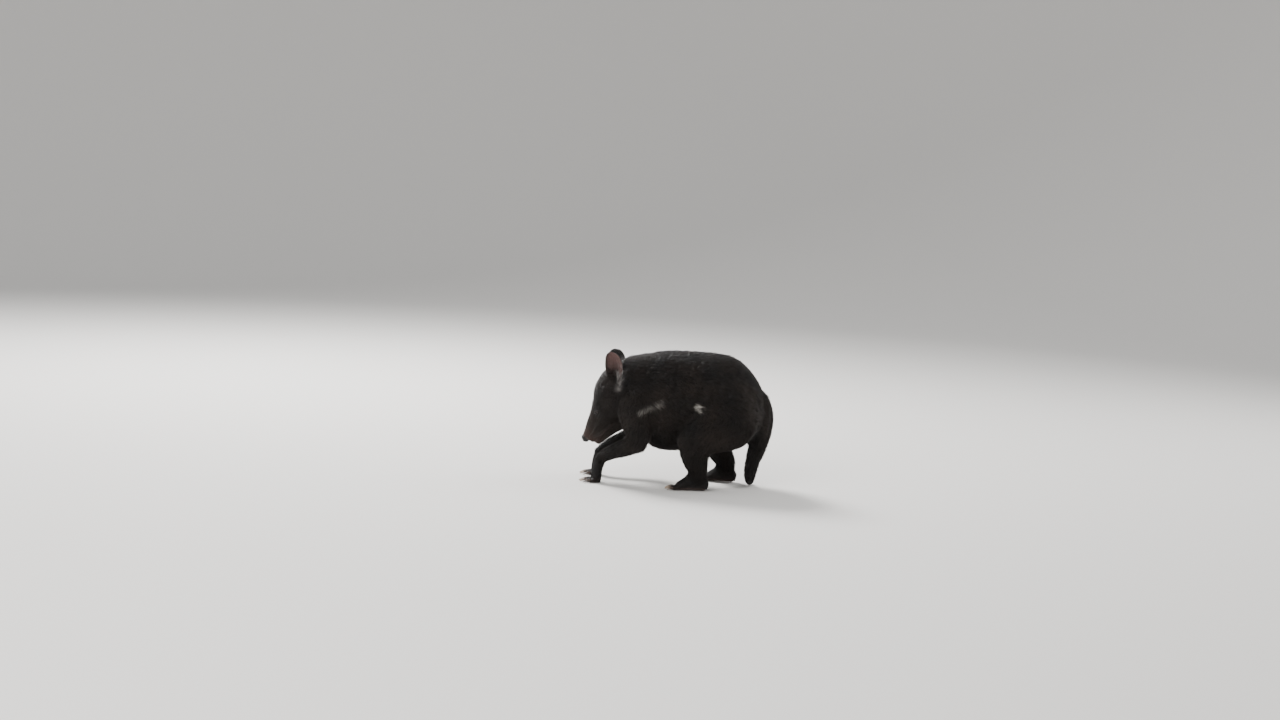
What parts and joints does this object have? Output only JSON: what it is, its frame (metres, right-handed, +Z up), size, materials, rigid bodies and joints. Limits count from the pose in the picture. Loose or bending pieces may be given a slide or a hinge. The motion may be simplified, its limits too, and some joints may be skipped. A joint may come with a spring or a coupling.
{
  "type": "life-size tasmanian devil model",
  "caption": "Life-size still model of a Tasmanian devil, crouched on all fours with its head bowed low.",
  "frame": {"origin": "on the ground, under the middle of the whole animal", "axes": "-X is where the animal looks, +Y its right side, +Z up"},
  "size_m": [0.3856, 0.1966, 0.2697],
  "materials": {
    "coat": "short dense black-brown fur with a soft sheen, white band on the chest, small white patches",
    "nose_skin": "naked dark pebbled skin, slightly moist",
    "ear_skin": "thin brown-pink skin inside, short dark hair outside",
    "eye": "wet glossy dark brown",
    "claw": "horn, darker at the root"
  },
  "bodies": {
    "root": {"head": "coat", "lower_jaw": "coat", "nose": "nose_skin", "eye_left": "eye", "eye_right": "eye", "torso": "coat", "neck": "coat", "ear_left": "ear_skin", "ear_right": "ear_skin", "left_fore_upper_arm": "coat", "left_fore_forearm": "coat", "left_fore_foot": "coat", "left_fore_foot_claw_1": "claw", "left_fore_foot_claw_2": "claw", "left_fore_foot_claw_3": "claw", "left_fore_foot_claw_4": "claw", "left_fore_foot_claw_5": "claw", "right_fore_upper_arm": "coat", "right_fore_forearm": "coat", "right_fore_foot": "coat", "right_fore_foot_claw_1": "claw", "right_fore_foot_claw_2": "claw", "right_fore_foot_claw_3": "claw", "right_fore_foot_claw_4": "claw", "right_fore_foot_claw_5": "claw", "left_hind_thigh": "coat", "left_hind_shank": "coat", "left_hind_foot": "coat", "left_hind_foot_claw_1": "claw", "left_hind_foot_claw_2": "claw", "left_hind_foot_claw_3": "claw", "left_hind_foot_claw_4": "claw", "right_hind_thigh": "coat", "right_hind_shank": "coat", "right_hind_foot": "coat", "right_hind_foot_claw_1": "claw", "right_hind_foot_claw_2": "claw", "right_hind_foot_claw_3": "claw", "right_hind_foot_claw_4": "claw", "tail_base": "coat", "tail_middle": "coat", "tail_tip": "coat"}
  },
  "joints": []
}
